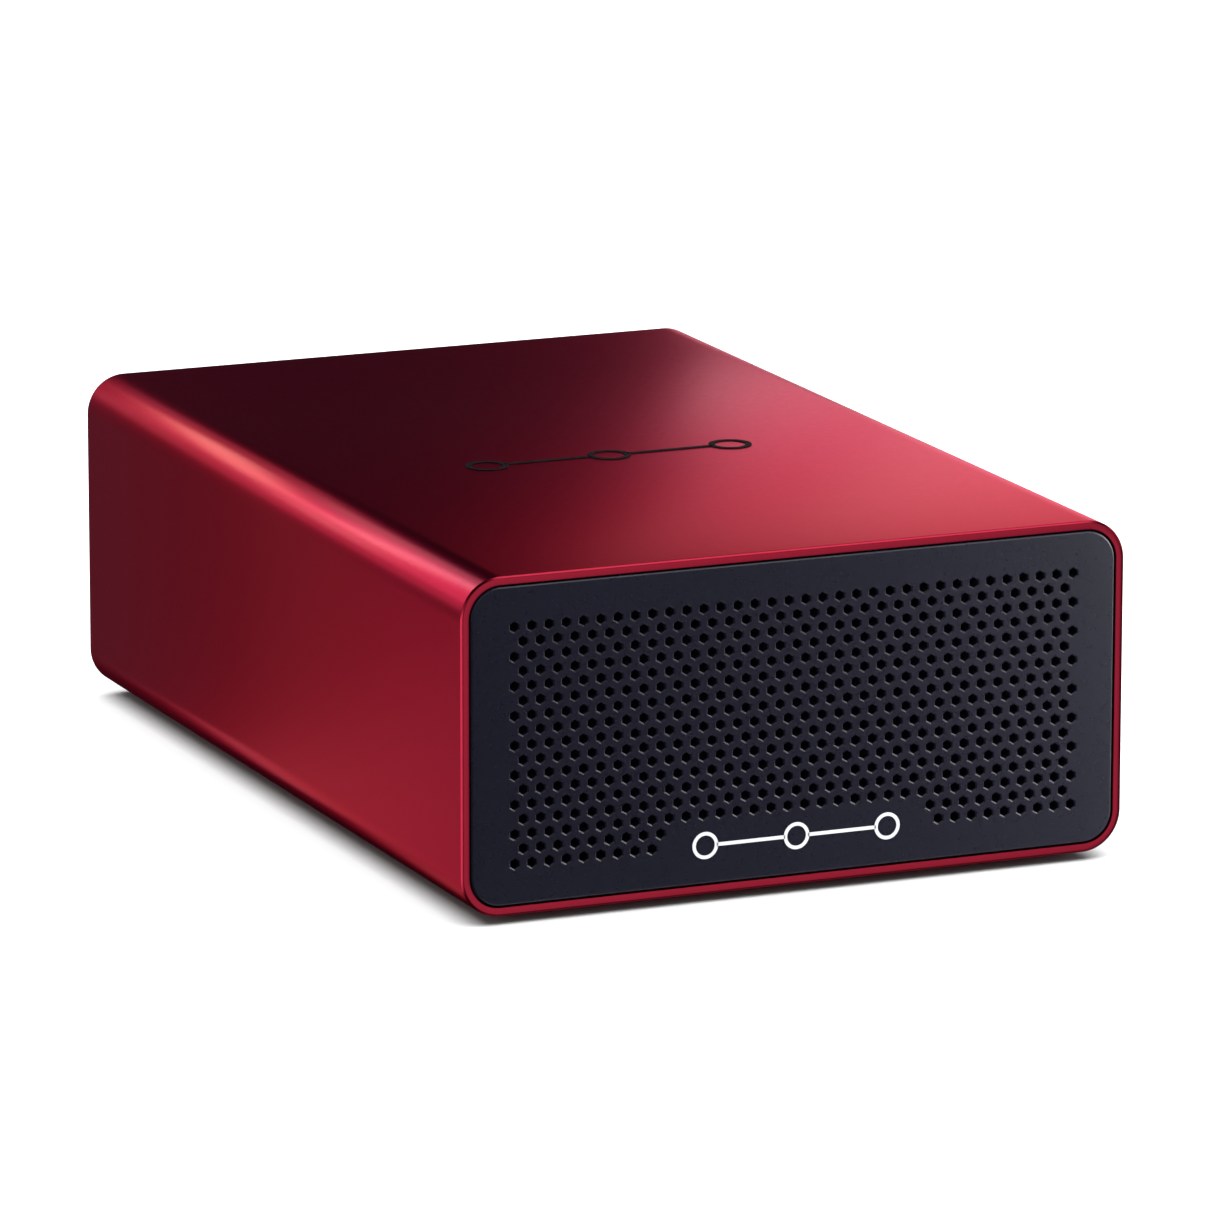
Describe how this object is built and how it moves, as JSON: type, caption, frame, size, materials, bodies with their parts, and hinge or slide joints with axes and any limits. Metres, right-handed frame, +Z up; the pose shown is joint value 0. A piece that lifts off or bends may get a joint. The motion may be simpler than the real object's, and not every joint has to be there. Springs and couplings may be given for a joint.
{
  "type": "desktop network appliance",
  "caption": "Compact desktop network box: rounded red aluminium sleeve with a dark perforated front panel and a connector panel with fan at the back.",
  "frame": {"origin": "centre of the footprint, on the surface the feet stand on", "axes": "+Z up, the perforated front faces -Y, +X is the right-hand side seen from the front"},
  "size_m": [0.14, 0.2182, 0.0687],
  "materials": {
    "red_aluminium": "satin, bead blasted and anodised red",
    "dark_panel": "fine satin dark blue-grey coat",
    "black_plastic": "moulded, fine spark texture",
    "black_steel": "black oxide",
    "zinc_steel": "zinc plated",
    "light_print": "light grey print",
    "dark_print": "smooth black print",
    "circuit_board": "solder mask over glass-fibre laminate",
    "chip_resin": "moulded resin",
    "bare_aluminium": "extruded",
    "nickel": "nickel plated",
    "brass": "turned",
    "rubber": "moulded",
    "lead_insulation": "smooth insulation"
  },
  "bodies": {
    "case": {"board_screw_1": "zinc_steel", "board_screw_2": "zinc_steel", "board_screw_3": "zinc_steel", "board_screw_4": "zinc_steel", "card_connector": "black_plastic", "card_spacer_1": "brass", "card_spacer_2": "brass", "carrier_screw_1": "zinc_steel", "carrier_screw_2": "zinc_steel", "carrier_screw_3": "zinc_steel", "carrier_screw_4": "zinc_steel", "chassis_tray": "zinc_steel", "clock_connector_1": "nickel", "clock_connector_2": "nickel", "clock_nut_1": "nickel", "clock_nut_2": "nickel", "ethernet_jack_1": "nickel", "ethernet_jack_2": "nickel", "fan_frame": "black_plastic", "fan_lead": "lead_insulation", "fan_screw_1": "black_steel", "fan_screw_2": "black_steel", "fan_screw_3": "black_steel", "fan_screw_4": "black_steel", "filter_capacitor_1": "bare_aluminium", "filter_capacitor_2": "bare_aluminium", "filter_inductor_1": "chip_resin", "filter_inductor_2": "chip_resin", "foot_front_left": "rubber", "foot_front_right": "rubber", "foot_rear_left": "rubber", "foot_rear_right": "rubber", "front_carrier": "black_plastic", "front_mark": "light_print", "front_panel": "dark_panel", "host_controller": "chip_resin", "host_heat_sink": "bare_aluminium", "main_board": "circuit_board", "memory_chip": "chip_resin", "network_card": "circuit_board", "network_heat_sink": "bare_aluminium", "network_processor": "chip_resin", "outer_sleeve": "red_aluminium", "power_inlet": "black_plastic", "power_lead": "lead_insulation", "rear_panel": "dark_panel", "rear_screw_1": "black_steel", "rear_screw_2": "black_steel", "rear_screw_3": "black_steel", "rear_screw_4": "black_steel", "standoff_1": "brass", "standoff_2": "brass", "standoff_3": "brass", "standoff_4": "brass", "switch_housing": "black_plastic", "top_mark": "dark_print", "usb_c_port_1": "nickel", "usb_c_port_2": "nickel"},
    "rotor": {"fan_rotor": "black_plastic"},
    "rocker": {"switch_rocker": "black_plastic"}
  },
  "joints": [
    {"name": "fan_spin", "type": "hinge", "parent": "case", "child": "rotor", "pos_m": [0.034, 0.08895, 0.037], "axis": [0, 1, 0], "continuous": true},
    {"name": "power_switch", "type": "hinge", "parent": "case", "child": "rocker", "pos_m": [-0.0025, 0.0974, 0.047], "axis": [-1, 0, 0], "range_deg": [0, 16]}
  ]
}
